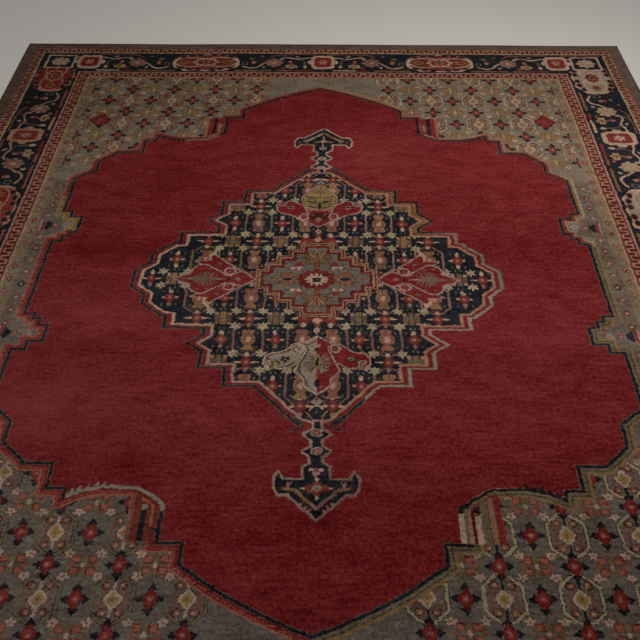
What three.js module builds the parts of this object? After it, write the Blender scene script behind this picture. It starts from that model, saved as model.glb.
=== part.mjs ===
// A room-sized Turkish carpet, hand knotted in wool on a cotton warp, lying flat on a floor.
// It is one cloth and so one solid: the knotted pile, a cord of overcast warps along each long
// side, and a narrow strip of flat weave past the last row of knots at each end.
// Millimetres, +Z up. The origin is under the carpet's middle, on the floor, and +Y runs along
// the warps, the carpet's length.
import * as THREE from 'three';

const PILE_WIDTH = 2980; // from the first knot of a row to its last
const PILE_LENGTH = 3860; // from the first row of knots to the last
const PILE_THICKNESS = 8; // foundation and clipped pile together

const CORD_WIDTH = 7; // the overcast side cord
const CORD_THICKNESS = 6;
const FLATWEAVE_LENGTH = 22; // the woven strip that holds the end knots
const FLATWEAVE_THICKNESS = 3;

const EDGE_WANDER = 5; // how far a hand-woven side strays from a straight line
const END_WANDER = 4; // how far an end strays

const COLUMNS_OF_PILE = 14; // steps of the mesh across the pile
const ROWS_OF_PILE = 20; // and along it

// The carpet's section at a side, from its edge to the pile. inward is the distance from the
// edge as a share of the cord's width, and height is a share of the cord's thickness.
const CORD_SECTION = [
  { inward: 0, height: 0.35 },
  { inward: 0.2, height: 0.8 },
  { inward: 0.5, height: 1 },
  { inward: 0.9, height: 0.8 },
];

// The same at an end, as shares of the flat weave's length and thickness.
const END_SECTION = [
  { inward: 0, height: 0.8 },
  { inward: 0.1, height: 1 },
  { inward: 0.97, height: 1 },
];

// The waves that a side and an end stray by, as shares of the wander: how many half waves
// there are from the carpet's middle to its edge, where they start, and how strong they are.
const WAVES = [
  { halves: 1.3, start: 0.4, share: 0.5 },
  { halves: 2.9, start: 1.9, share: 0.3 },
  { halves: 4.7, start: 5.1, share: 0.2 },
];

// Stations from one edge of the carpet to the other, in one direction. Each has its place,
// from -1 to 1 times half the full size, and the height that the section gives there.
function stations(pileSize, stripSize, stripHeight, section, steps) {
  const half = pileSize / 2 + stripSize;
  const strip = section.map(({ inward, height }) => ({
    place: half - inward * stripSize,
    height: height * stripHeight,
  }));
  const pile = [];
  for (let i = 0; i <= steps; i += 1) {
    pile.push({ place: (i / steps - 0.5) * pileSize, height: PILE_THICKNESS });
  }
  const low = strip.map(({ place, height }) => ({ place: -place, height }));
  return [...low, ...pile, ...strip.reverse()];
}

// A slow, uneven wave along a share of the carpet, between -1 and 1.
function wander(share, shift) {
  return WAVES.reduce(
    (sum, wave) => sum + wave.share * Math.sin(Math.PI * wave.halves * share + wave.start + shift),
    0,
  );
}

const across = stations(PILE_WIDTH, CORD_WIDTH, CORD_THICKNESS, CORD_SECTION, COLUMNS_OF_PILE);
const along = stations(
  PILE_LENGTH,
  FLATWEAVE_LENGTH,
  FLATWEAVE_THICKNESS,
  END_SECTION,
  ROWS_OF_PILE,
);

// Where the carpet's point at this column and row lies. side is 0 underneath and 1 on top.
function carpetPoint(column, row, side) {
  const { place: x, height: widthHeight } = across[column];
  const { place: y, height: lengthHeight } = along[row];
  const shareX = (2 * x) / PILE_WIDTH;
  const shareY = (2 * y) / PILE_LENGTH;
  const sideStray = EDGE_WANDER * shareX * wander(shareY, shareX < 0 ? 2 : 0);
  const endStray = END_WANDER * shareY * wander(shareX, shareY < 0 ? 3 : 1);
  return [x + sideStray, y + endStray, side * Math.min(widthHeight, lengthHeight)];
}

// A box with one step for each station, whose points are then set in their places.
function carpetGeometry() {
  const columns = across.length - 1;
  const rows = along.length - 1;
  const geometry = new THREE.BoxGeometry(columns, rows, 1, columns, rows, 1);
  const position = geometry.attributes.position;
  for (let i = 0; i < position.count; i += 1) {
    const column = Math.round(position.getX(i) + columns / 2);
    const row = Math.round(position.getY(i) + rows / 2);
    const side = Math.round(position.getZ(i) + 0.5);
    position.setXYZ(i, ...carpetPoint(column, row, side));
  }
  geometry.computeBoundingBox();
  const middle = geometry.boundingBox.getCenter(new THREE.Vector3());
  geometry.translate(-middle.x, -middle.y, 0);
  geometry.computeVertexNormals();
  return geometry;
}

const madderWool = new THREE.MeshStandardMaterial({
  color: 0x6b1d20,
  roughness: 0.95,
  metalness: 0,
});

const carpet = new THREE.Mesh(carpetGeometry(), madderWool);
carpet.name = 'carpet';

const part = new THREE.Group();
part.add(carpet);

export default part;
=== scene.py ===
# A room-sized Turkish rug, hand knotted in wool, lying flat: a stepped medallion with pendants on
# a madder field, corner pieces, and a wide border. The weaver's chart below is drawn in
# millimetres, from the rug's middle, +X to the right and +Y to the far end.
from math import pi, radians

import bmesh
import bpy
import numpy as np
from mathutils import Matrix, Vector


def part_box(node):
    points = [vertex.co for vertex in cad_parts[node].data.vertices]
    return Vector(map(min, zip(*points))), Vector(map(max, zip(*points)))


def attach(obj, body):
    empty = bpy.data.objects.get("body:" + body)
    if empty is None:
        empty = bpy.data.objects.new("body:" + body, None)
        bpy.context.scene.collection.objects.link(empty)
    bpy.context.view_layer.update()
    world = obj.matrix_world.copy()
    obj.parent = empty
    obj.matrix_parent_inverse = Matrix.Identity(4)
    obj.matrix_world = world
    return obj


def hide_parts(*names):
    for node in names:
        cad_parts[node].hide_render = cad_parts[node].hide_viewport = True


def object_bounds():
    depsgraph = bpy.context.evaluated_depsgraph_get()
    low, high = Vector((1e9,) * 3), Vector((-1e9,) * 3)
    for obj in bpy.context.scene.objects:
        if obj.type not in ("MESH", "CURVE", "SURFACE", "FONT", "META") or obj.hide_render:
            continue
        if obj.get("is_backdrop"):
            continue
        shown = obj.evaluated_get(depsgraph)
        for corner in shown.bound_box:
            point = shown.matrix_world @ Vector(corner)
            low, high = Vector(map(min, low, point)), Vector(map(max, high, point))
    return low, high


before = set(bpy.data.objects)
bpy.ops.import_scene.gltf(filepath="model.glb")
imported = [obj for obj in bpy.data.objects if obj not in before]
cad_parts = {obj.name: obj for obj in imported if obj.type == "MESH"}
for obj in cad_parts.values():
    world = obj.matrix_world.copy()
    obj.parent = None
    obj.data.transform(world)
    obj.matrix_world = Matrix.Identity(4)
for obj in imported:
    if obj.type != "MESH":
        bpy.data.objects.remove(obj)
cad_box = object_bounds()

# Camera: a person standing at the near end, looking down the rug

EYE = (0.034, -2.795, 2.153)  # m
LOOK_DOWN = 40  # degrees under the horizon
LOOK_LEFT = 0.6  # degrees from the rug's length
LENS = 55.35  # mm

camera_data = bpy.data.cameras.new("standing_eye")
camera_data.lens = LENS
camera_data.sensor_width = 36
camera = bpy.data.objects.new("standing_eye", camera_data)
camera.location = EYE
camera.rotation_euler = (radians(90 - LOOK_DOWN), 0, radians(LOOK_LEFT))
bpy.context.scene.collection.objects.link(camera)
bpy.context.scene.camera = camera

# The chart: its size, and its dyes

KNOT = 2.5  # mm from knot to knot, both ways
PILE_WIDTH = 2980  # mm
PILE_LENGTH = 3860
COLUMNS = int(PILE_WIDTH / KNOT)
ROWS = int(PILE_LENGTH / KNOT)

DYES = {
    "madder": "5d1b1c",
    "brick": "592820",
    "oxblood": "3f1719",
    "navy": "181a1e",
    "slate": "524a43",
    "dove": "62574c",
    "ivory": "8c7462",
    "straw": "80735b",
    "peach": "7e5c48",
    "blush": "81645b",
    "camel": "6c5038",
    "gold": "72603a",
    "ochre": "63482c",
    "rust": "6b4534",
    "rose": "6a3a34",
    "dusty": "5f423b",
    "clay": "6f5048",
    "sage": "564c38",
    "taupe": "4f4036",
    "mist": "6f655a",
    "oat": "75675a",
    "mauve": "4c3636",
    "walnut": "30241d",
    "plum": "2e1f24",
    "salmon": "774839",
    "crimson": "622321",
    "stone": "615848",
}
(
    MADDER, BRICK, OXBLOOD, NAVY, SLATE, DOVE, IVORY, STRAW, PEACH, BLUSH, CAMEL, GOLD, OCHRE,
    RUST, ROSE, DUSTY, CLAY, SAGE, TAUPE, MIST, OAT, MAUVE, WALNUT, PLUM, SALMON, CRIMSON,
    STONE,
) = range(len(DYES))


# Outlines

QUARTERS = ((1, 1), (-1, 1), (1, -1), (-1, -1))


def both_sides(half):
    """A whole outline from its right half, which runs from one end of the axis to the other."""
    half = np.array(half, float)
    return np.concatenate([half, half[::-1] * (-1, 1)])


def all_round(quarter):
    """A whole outline from its first quarter, which runs from the long axis to the cross axis."""
    quarter = np.array(quarter, float)
    return both_sides(np.concatenate([quarter, quarter[::-1] * (1, -1)]))


def rounded(points, closed=False):
    """A smooth curve through the points, in five steps from each to the next."""
    points = np.array(points, float)
    if closed:
        points = np.concatenate([points[-1:], points, points[:2]])
    else:
        points = np.concatenate([points[:1], points, points[-1:]])
    share = np.arange(5)[:, None] / 5
    curve = []
    for a, b, c, d in zip(points, points[1:], points[2:], points[3:]):
        bend = (2 * a - 5 * b + 4 * c - d) * share**2 + (3 * b - a - 3 * c + d) * share**3
        curve.append(b + ((c - a) * share + bend) / 2)
    if not closed:
        curve.append(points[-1:])
    return np.concatenate(curve)


def grown(outline, across, along=None):
    """An outline moved outwards, by its own amount across and along the rug."""
    along = across if along is None else along
    stretch = np.array([1.0, across / along])
    points = np.array(outline, float) * stretch
    points = points[np.linalg.norm(points - np.roll(points, 1, 0), axis=1) > 1e-6]
    edge = np.roll(points, -1, 0) - points
    after = np.roll(points, -1, 0)
    area = np.sum(points[:, 0] * after[:, 1] - after[:, 0] * points[:, 1])
    out = np.stack([edge[:, 1], -edge[:, 0]], 1) * np.sign(area)
    out /= np.linalg.norm(out, axis=1)[:, None]
    before = np.roll(out, 1, 0)
    corner = (out + before) / (1 + np.sum(out * before, 1))[:, None]
    return (points + corner * across) / stretch


def blossom(petals, across, along, depth):
    """A round outline with so many petals, dented between them by a share of its size."""
    turn = np.linspace(0, 2 * pi, 8 * petals, endpoint=False)
    reach = 1 - depth * (0.5 - 0.5 * np.cos(petals * turn))
    return np.stack([across * reach * np.sin(turn), along * reach * np.cos(turn)], 1)


class Chart:
    """The weaver's chart: one dye for each knot, row by row from the near end. Motifs are drawn
    on it in mm from a middle of their own."""

    def __init__(self, dye, measured=lambda points: points):
        self.dye = dye
        self.measured = measured

    def at(self, x, y, across=1, along=1, turned=False):
        """The same chart from another middle, which may be mirrored or turned to an end border."""

        def measured(points):
            if turned:
                points = points[:, ::-1]
            return self.measured(points * (across, along) + (x, y))

        return Chart(self.dye, measured)

    def quarters(self):
        """The chart as it is, mirrored across, mirrored along, and both."""
        return [self.at(0, 0, side, end) for side, end in QUARTERS]

    def sides(self):
        return self.quarters()[:2]

    def ends(self):
        return self.quarters()[::2]

    def around(self, points, margin=0.0):
        """The rows and columns around some points, and where their knots lie."""
        middle = (PILE_WIDTH / 2, PILE_LENGTH / 2)
        low = (np.min(points, 0) - margin + middle) / KNOT - 1
        high = (np.max(points, 0) + margin + middle) / KNOT + 2
        columns = slice(*np.clip([low[0], high[0]], 0, COLUMNS).astype(int))
        rows = slice(*np.clip([low[1], high[1]], 0, ROWS).astype(int))
        x = (np.arange(columns.start, columns.stop) + 0.5) * KNOT - middle[0]
        y = (np.arange(rows.start, rows.stop) + 0.5) * KNOT - middle[1]
        return (rows, columns), x[None, :], y[:, None]

    def inside(self, points):
        """The part of the chart around an outline, and which of its knots are inside it."""
        points = self.measured(np.array(points, float))
        part, x, y = self.around(points)
        held = np.zeros(self.dye[part].shape, bool)
        for (ax, ay), (bx, by) in zip(points, np.roll(points, -1, 0)):
            if ay != by:
                left = x < ax + (y - ay) * (bx - ax) / (by - ay)
                held ^= left & ((ay > y) != (by > y))
        return part, held

    def fill(self, points, dye):
        part, held = self.inside(points)
        self.dye[part][held] = dye

    def line(self, points, width, dye, closed=False):
        points = self.measured(np.array(points, float))
        if closed:
            points = np.concatenate([points, points[:1]])
        for a, b in zip(points, points[1:]):
            part, x, y = self.around([a, b], width / 2)
            step = b - a
            along = ((x - a[0]) * step[0] + (y - a[1]) * step[1]) / max(step @ step, 1e-9)
            along = np.clip(along, 0, 1)
            away = np.hypot(x - a[0] - along * step[0], y - a[1] - along * step[1])
            self.dye[part][away <= width / 2] = dye

    def lines(self, points, *layers, closed=False):
        """Lines along one path, each laid over the last; a layer is its width and dye."""
        for width, dye in layers:
            self.line(points, width, dye, closed)

    def disc(self, x, y, across, along, dye):
        self.flower(3, x, y, across, along, 0, dye)

    def dots(self, *discs):
        """Discs here and there, each given as for disc."""
        for disc in discs:
            self.disc(*disc)

    def discs(self, x, y, *rings):
        """Discs round one middle; a ring is its reach across and along, and its dye."""
        for ring in rings:
            self.disc(x, y, *ring)

    def box(self, x, y, half_x, half_y, dye):
        corners = [(-half_x, -half_y), (half_x, -half_y), (half_x, half_y), (-half_x, half_y)]
        self.at(x, y).fill(corners, dye)

    def boxes(self, x, y, *layers):
        for layer in layers:
            self.box(x, y, *layer)

    def flower(self, petals, x, y, across, along, depth, dye):
        self.at(x, y).fill(blossom(petals, across, along, depth), dye)

    def flowers(self, petals, x, y, depth, *rings):
        """Flowers of as many petals round one middle; the rings are as in discs."""
        for across, along, dye in rings:
            self.flower(petals, x, y, across, along, depth, dye)

    def change(self, low, high, dyes):
        """Takes other dyes in place of some, between two corners."""
        part, x, y = self.around([low, high])
        old = self.dye[part]
        held = (x > low[0]) & (x < high[0]) & (y > low[1]) & (y < high[1])
        new = np.arange(len(DYES), dtype=np.uint8)
        for was, now in dyes.items():
            new[was] = now
        self.dye[part] = np.where(held, new[old], old)

    def lay(self, other, outline):
        """Takes another chart's knots inside an outline."""
        part, held = self.inside(outline)
        self.dye[part][held] = other.dye[part][held]


def blank(dye):
    """A new chart of the whole rug in one dye."""
    return Chart(np.full((ROWS, COLUMNS), dye, np.uint8))


rug = blank(MADDER)

# The lattice's flowers; +y points away from the rug's middle

BUD = both_sides([(0, 24), (6, 27), (8, 35), (5, 44), (0, 51)])
STAR_BODY = [(0, -31), (22, 0), (0, 31), (-22, 0)]


def star(chart, dart, bud, dart_dye=IVORY):
    """A red diamond flower with a bud at both ends, and darts of some length to its sides."""
    for quarter in chart.quarters():
        quarter.disc(25, 38, 3.2, 6, SLATE)
    chart.fill(np.array(STAR_BODY) * 1.14, OXBLOOD)
    chart.fill(STAR_BODY, BRICK)
    chart.discs(0, 0, (9, 11, ROSE), (4, 5, BLUSH))
    for half in chart.sides():
        if dart:
            half.fill([(18, -5), (27, -5), (20 + dart, 0), (27, 5), (18, 5)], dart_dye)
    chart.fill(BUD, bud)
    chart.fill(BUD * (1, -1), IVORY)


HEXAGON = both_sides([(0, -92), (28, -70), (49, -47), (49, 47), (28, 70), (0, 92)])
LILY = both_sides([
    (6, -54), (20, -52), (23, -40), (13, -30), (22, -22), (26, -2), (22, 16), (11, 27), (15, 36),
    (24, 50), (14, 58), (0, 54),
])


def lily(chart, body, cap, feet):
    """An upright blossom with a pale heart, a cap, and two feet."""
    chart.line([(-22, 62), (0, 68), (22, 62)], 4, MAUVE)
    chart.fill(LILY, body)
    chart.disc(0, -2, 19, 27, MAUVE)
    chart.fill(both_sides([(0, 26), (13, 29), (17, 50), (0, 54)]), cap)
    chart.line([(0, 28), (0, 54)], 4, feet)
    for half in chart.sides():
        half.line([(13, -50), (14, -32)], 7, feet)
        half.dots((31, -36, 3, 6, SLATE), (31, 40, 3, 6, SLATE))
    chart.line([(0, -54), (0, -34)], 5, MAUVE)
    chart.discs(0, -1, (15, 23, SALMON), (8, 13, IVORY))


def post(chart, middle, sides, corners):
    """An upright block with pale corners, between four small flowers of six petals."""
    for quarter in chart.quarters():
        quarter.flower(6, 43, 41, 21, 22, 0.52, STRAW)
        quarter.dots((43, 41, 3.4, 3.4, RUST), (8, 54, 3, 6, SLATE))
    chart.boxes(0, 0, (31, 18, WALNUT), (9, 35, middle))
    chart.line([(0, -30), (0, 30)], 3, OCHRE)
    for half in chart.sides():
        half.box(20, 0, 8, 15, sides)
        half.line([(20, -9), (20, 9)], 4, MAUVE)
    for quarter in chart.quarters():
        quarter.boxes(21, 25, (8.5, 9, WALNUT), (6.5, 7, corners))


# The borders, drawn up the right-hand side: x is the distance out from the rug's middle

END_SHIFT = (PILE_LENGTH - PILE_WIDTH) // 2  # the ends' stripes lie so much further out
BORDER_EDGE = 1120  # mm from the rug's middle to the first guard stripe
END_EDGE = BORDER_EDGE + END_SHIFT
BORDER_MIDDLE = 1294
REPEAT = 1150  # mm from cartouche to cartouche
KEY_STEP = 46
STRIPES = (
    (BORDER_EDGE, 1133, CAMEL), (1125, 1130, STRAW), (1133, 1176, BRICK), (1177, 1184, BLUSH),
    (1184, 1394, NAVY), (1184, 1191, WALNUT), (1388, 1392, WALNUT), (1392, 1400, STRAW),
    (1400, 1434, BRICK), (1434, 1438, PEACH), (1438, 1490, TAUPE),
)


def meander(chart, middle, turn):
    """A running key line in a guard stripe, with a dark block in each of its bays."""
    for y in np.arange(-PILE_LENGTH / 2, PILE_LENGTH / 2, KEY_STEP):
        here = chart.at(middle, y, turn)
        for x, middle_y in ((-5, 12), (5, 34)):
            here.box(x, middle_y, 9, 6, OXBLOOD)
        here.line([(-12, 0), (12, 0), (12, 23), (-12, 23), (-12, KEY_STEP)], 7, PEACH)


def cartouche(chart, ink, flower):
    """The pale frame with a red panel and a star flower."""
    shape = both_sides([(52, -57), (73, -40), (73, 40), (52, 58)])
    chart.dots((0, 62, 22, 14, ink), (0, -62, 22, 14, ink))
    for size, dye in ((1, ink), (0.74, RUST), (0.7, CRIMSON if ink == IVORY else BRICK)):
        chart.fill(shape * size, dye)
    chart.flowers(6, 0, 0, 0.5, (33, 29, BRICK), (29, 26, flower))
    chart.disc(0, 0, 6, 6, ROSE)


def rosette(chart, petals=STRAW, between=CLAY):
    """A round flower of eight petals with dusky veins."""
    chart.flower(8, 0, 0, 48, 47, 0.16, between)
    for turn in np.arange(8) * pi / 4:
        x, y = np.sin(turn), np.cos(turn)
        for start, tip, width, dye in ((16, 37, 15, petals), (22, 34, 3, RUST)):
            chart.line([(start * x, start * y), (tip * x, tip * y)], width, dye)
    chart.disc(0, 0, 18, 18, between)
    chart.flower(8, 0, 0, 14, 14, 0.3, IVORY)
    chart.disc(0, 0, 5, 5, RUST)


def gold_blossom(chart):
    """A blossom of three dyes with a pink bud at its side."""
    chart.flower(3, 0, 20, 18, 12, 0.2, IVORY)
    chart.flower(3, 0, -20, 16, 10, 0.2, BLUSH)
    chart.flowers(4, 0, 0, 0.3, (29, 24, GOLD), (16, 15, CAMEL))
    chart.disc(0, 0, 5, 6, BRICK)
    chart.lines([(22, 2), (44, 6)], (12, BRICK), (7, RUST))
    chart.flower(5, 50, 7, 15, 12, 0.2, ROSE)
    chart.disc(54, 7, 6, 5, BLUSH)


def vines(chart, ink, petals):
    """The curling stems that join a cartouche to the flowers beyond it, on one side of it."""
    stem = [(50, 52), (42, 92), (33, 122), (44, 152), (50, 180), (40, 205), (28, 198)]
    chart.lines(rounded(stem), (12, WALNUT), (9, ink))
    chart.line(rounded([(84, 40), (88, 100), (84, 165), (78, 225), (52, 258)]), 7, ROSE)
    curl = rounded([(-10, 285), (-28, 300), (-54, 318), (-67, 345), (-62, 368), (-50, 392)])
    chart.lines(curl, (13, WALNUT), (10, ink))
    chart.fill([(54, 108), (64, 120), (72, 132), (58, 136), (50, 124)], MIST)
    gold_blossom(chart.at(-45, 152))
    chart.line([(-46, 86), (8, 92)], 7, DUSTY)
    chart.dots(
        (-52, 86, 15, 9, IVORY), (-62, 192, 8, 12, ROSE), (0, 342, 19, 13, ROSE),
        (-10, 342, 10, 7, BLUSH), (-18, 384, 19, 15, SLATE), (-18, 384, 13, 10, NAVY),
        (38, 352, 9, 14, SAGE), (-58, 286, 12, 8, MIST), (20, 102, 7, 9, MAUVE),
        (-78, 128, 7, 9, PLUM), (66, 190, 7, 9, MAUVE), (18, 312, 7, 9, PLUM),
        (64, 300, 7, 9, DUSTY),
    )
    rosette(chart.at(-6, 240), *petals)


PALMETTE = rounded([
    (0, 165), (-52, 158), (-74, 122), (-96, 92), (-90, 48), (-99, 0), (-90, -48), (-96, -92),
    (-74, -122), (-52, -158), (0, -165), (46, -150), (70, -110), (88, -84), (82, -44), (92, 0),
    (82, 44), (88, 84), (70, 110), (46, 150),
], closed=True)


def great_palmette(chart, ink, body):
    """A tall pointed flower with navy discs along its edge, midway between the cartouches."""
    chart.fill(PALMETTE, ink)
    chart.fill(PALMETTE * 0.9, body)
    stem = rounded([(10, 150), (44, 120), (50, 70), (40, 20), (16, 0)])
    for quarter in chart.quarters():
        for x, y in ((77, 34), (74, 76), (60, 116)):
            quarter.discs(x, y, (15, 22, ROSE), (11, 17, NAVY))
        quarter.line(stem, 8, ink)
    chart.flowers(8, 0, 0, 0.22, (46, 66, ink), (36, 52, BRICK))
    for y in (104, -104):
        chart.discs(0, y, (22, 28, OCHRE), (12, 16, BRICK))
    chart.flower(6, 0, 0, 20, 26, 0.3, CAMEL)
    chart.disc(0, 0, 8, 10, NAVY)


def weave_border(chart, first, ink, flower, body, petals):
    """One whole border, with its first cartouche and the dyes of its vines and frames, of the
    cartouches' flowers, of the great palmettes and of the rosettes."""
    half = PILE_LENGTH / 2
    for inner, outer, dye in STRIPES:
        chart.fill([(inner, -half), (outer, -half), (outer, half), (inner, half)], dye)
    meander(chart, 1155, 1)
    meander(chart, 1417, -1)
    for middle in np.arange(first, half + REPEAT, REPEAT):
        great_palmette(chart.at(BORDER_MIDDLE, middle - REPEAT / 2), ink, body)
        here = chart.at(BORDER_MIDDLE, middle)
        for end, first_bar, next_bar in zip(here.ends(), (ink, CRIMSON), (CRIMSON, ROSE)):
            vines(end, ink, petals)
            end.line([(-90, 52), (-91, 155)], 11, first_bar)
            end.line([(-91, 165), (-90, 220)], 11, next_bar)
            last_bar = OCHRE if ink == IVORY else ROSE
            end.lines([(-91, 256), (-91, 425)], (14, WALNUT), (11, last_bar))
        for y in (18, -20):
            here.box(-90, y, 9, 9, NAVY)
        here.disc(-90, -1, 7, 7, MAUVE)
        cartouche(here, ink, flower)


def weave_borders():
    dusky = (CLAY, TAUPE)
    first = 1005 - 2 * REPEAT
    weave_border(rug, first, IVORY, IVORY, OAT, (STRAW, CLAY))
    weave_border(rug.at(0, 0, -1), first, PEACH, CLAY, CRIMSON, dusky)
    ends = blank(NAVY)
    edge = BORDER_EDGE
    half_x, half_y = PILE_WIDTH / 2, PILE_LENGTH / 2
    corners = [(-edge, END_EDGE), (edge, END_EDGE), (half_x, half_y), (-half_x, half_y)]
    for end in (1, -1):
        turned = ends.at(0, END_SHIFT * end, 1, end, turned=True)
        weave_border(turned, -REPEAT, IVORY, PEACH, BRICK, dusky)
        rug.lay(ends, np.array(corners) * (1, end))
    for quarter in rug.quarters():
        corner = quarter.at(BORDER_MIDDLE, BORDER_MIDDLE + END_SHIFT)
        corner.boxes(0, 0, (72, 72, IVORY), (62, 62, NAVY))
        rosette(corner)


weave_borders()

# The field's outline, from the far end to the near one, and the corners outside it

CORNER_LINE = [
    (0, 1450), (60, 1425), (150, 1378), (240, 1325), (300, 1280), (352, 1240), (352, 1170),
    (424, 1170), (424, 1026), (500, 972), (600, 970), (660, 984), (710, 1008), (713, 967),
    (759, 965), (761, 866), (860, 862), (930, 785), (930, 711), (1003, 655),
]
NEAR_LINE = CORNER_LINE[:8] + [
    (420, 1042), (440, 1019), (497, 981), (600, 977), (655, 991), (703, 1017), (707, 983),
    (757, 983), (758, 891), (840, 891), (921, 812), (923, 720), (1003, 651),
]
FAR_BRACKET = [
    (1003, 413), (968, 413), (968, 375), (923, 375), (923, 274), (945, 274), (945, 242), (970, 242),
    (970, 211), (1003, 211),
]
NEAR_BRACKET = [
    (1003, 212), (968, 212), (968, 241), (942, 241), (942, 272), (911, 272), (911, 357), (958, 357),
    (958, 398), (1003, 398),
]


def field_outline():
    near = np.array(NEAR_BRACKET + NEAR_LINE[::-1], float) * (1, -1)
    return both_sides(np.concatenate([CORNER_LINE, FAR_BRACKET, near]))


FIELD = field_outline()
CORNERS = {
    # the corner: a star's place, the lattice's steps, and the dyes of its lines and ground
    (1, 1): ((600, 1118), (97, 108), STRAW, DOVE),
    (-1, 1): ((600, 1118), (97, 108), CAMEL, DOVE),
    (1, -1): ((584, 1136), (98, 100), STRAW, SLATE),
    (-1, -1): ((604, 1136), (95, 104), SAGE, SLATE),
}


def corner_lattice(chart):
    """Stars, blocks and pale hexagons on slate, which fill the corners."""
    for (side, end), ((x, y), (across, along), line, ground) in CORNERS.items():
        quarter = chart.at(0, 0, side, end)
        quarter.fill([(0, 0), (1200, 0), (1200, END_EDGE), (0, END_EDGE)], ground)
        middles = {"star": [], "block": [], "hexagon": []}
        for i in range(-3, 7):
            for j in range(-3, 5):
                kind = (("star", "block"), ("hexagon", "star"))[i % 2][j % 2]
                middles[kind].append(quarter.at(x + i * across, y + j * along))
        for middle in middles["hexagon"]:
            corner_hexagon(middle, line, NAVY if (side, end) == (1, -1) else IVORY)
        for middle in middles["block"]:
            corner_block(middle, end > 0)
        for middle in middles["star"]:
            corner_star(middle, BRICK if end > 0 else CRIMSON)


def corner_star(chart, body_dye):
    """A red diamond with navy points."""
    for x, y, reach in ((0, 1, 51), (1, 0, 40), (0, -1, 51), (-1, 0, 40)):
        base = reach * 0.5
        corner = (x * base + y * 16, y * base + x * 15)
        other = (x * base - y * 16, y * base - x * 15)
        chart.fill([(x * reach, y * reach), corner, other], NAVY)
    body = np.array([(0, -37), (24, 0), (0, 37), (-24, 0)])
    chart.fill(body, OXBLOOD)
    chart.fill(body * 0.82, body_dye)
    chart.discs(0, 0, (8, 10, ROSE), (4, 5, PEACH))


def corner_hexagon(chart, line, stem):
    """A pale six-sided frame round a gold flower with four red petals."""
    shape = both_sides([(6, -74), (24, -64), (51, -37), (51, 37), (24, 64), (6, 74)])
    chart.lines(shape, (12, WALNUT), (8, line), closed=True)
    for quarter in chart.quarters():
        quarter.dots((23, 40, 13, 13, OXBLOOD), (22, 40, 10, 10, RUST), (20, 42, 4, 4, STRAW))
        quarter.line([(26, 4), (33, 20)], 6, ROSE)
    chart.line([(0, -54), (0, 54)], 7, stem)
    chart.flowers(4, 0, 0, 0.2, (26, 33, WALNUT), (24, 31, IVORY), (15, 21, GOLD))
    chart.disc(0, 0, 5, 8, RUST)


def corner_block(chart, gold):
    """Four small squares round an upright bar, between four pale flowers."""
    pale = STRAW if gold else IVORY
    for quarter, petals in zip(chart.quarters(), (pale, pale, IVORY, IVORY)):
        quarter.flower(5, 43, 35, 19, 18, 0.4, TAUPE)
        quarter.flower(5, 43, 35, 16, 15, 0.45, petals)
        quarter.disc(43, 35, 4, 4, CAMEL)
        quarter.line([(8, 36), (22, 48)], 4, SAGE)
        quarter.disc(12, 50, 4, 6, SAGE)
        quarter.boxes(22, 18, (12, 12, OCHRE if gold else BRICK), (9, 9, CAMEL if gold else SALMON))
        quarter.box(36, 4, 5, 4, RUST)
    chart.boxes(0, 0, (9, 33, TAUPE), (7, 31, GOLD if gold else SAGE))
    chart.disc(0, 0, 6, 8, IVORY)


def weave_corner_sides(chart):
    """The strips of small flowers beside the field, and the brackets' own flowers."""
    dyes = (BRICK, CLAY, ROSE, SALMON, BLUSH, CRIMSON, ROSE, RUST, BRICK, PLUM)
    for half in chart.sides():
        half.box(1053, 0, 27, 640, SLATE)
        half.box(1103, 0, 20, END_EDGE, STONE)
        half.line([(1083, -640), (1083, 640)], 6, CAMEL)
        half.line([(1087, -640), (1087, 640)], 2.6, SAGE)
        half.line([(1121, -END_EDGE), (1121, END_EDGE)], 5, PEACH)
        for i, y in enumerate(range(-555, 600, 72)):
            here = half.at(1055, y)
            here.flowers(4, 0, 0, 0.4, (17, 21, TAUPE), (14, 18, dyes[i * 7 % len(dyes)]))
            here.disc(0, 0, 5, 6, STRAW)
            here.line([(-13, 26), (0, 36), (13, 26)], 4, CAMEL)
            here.line([(-10, 46), (10, 40)], 3, SAGE)
        for i, y in enumerate(range(-1500, END_EDGE, 74)):
            here = half.at(1103, y)
            here.flower(4, 0, 0, 12, 17, 0.3, (BRICK, ROSE, RUST, CRIMSON)[i * 3 % 4])
            here.dots((0, 0, 4, 5, BLUSH), (0, 36, 7, 10, CAMEL), (0, 36, 3, 5, STRAW))
    for quarter in chart.quarters():
        here = quarter.at(1000, 315)
        here.box(-15, 0, 55, 58, SLATE)
        here.flowers(5, -30, 6, 0.2, (21, 25, TAUPE), (18, 22, MIST))
        here.disc(-30, 6, 7, 9, CLAY)
        here.flower(4, 12, 0, 10, 22, 0.3, ROSE)
        here.disc(12, 0, 4, 8, BLUSH)
        here.fill([(24, -8), (50, -34), (50, 34), (24, 8)], NAVY)
        for x, wide, high, dye in ((54, 3, 26, MAUVE), (61, 4, 36, CRIMSON), (69, 4, 36, BLUSH)):
            here.box(x, 0, wide, high, dye)
        here.dots((36, -48, 10, 8, SAGE), (36, 48, 10, 8, SAGE))


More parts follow.
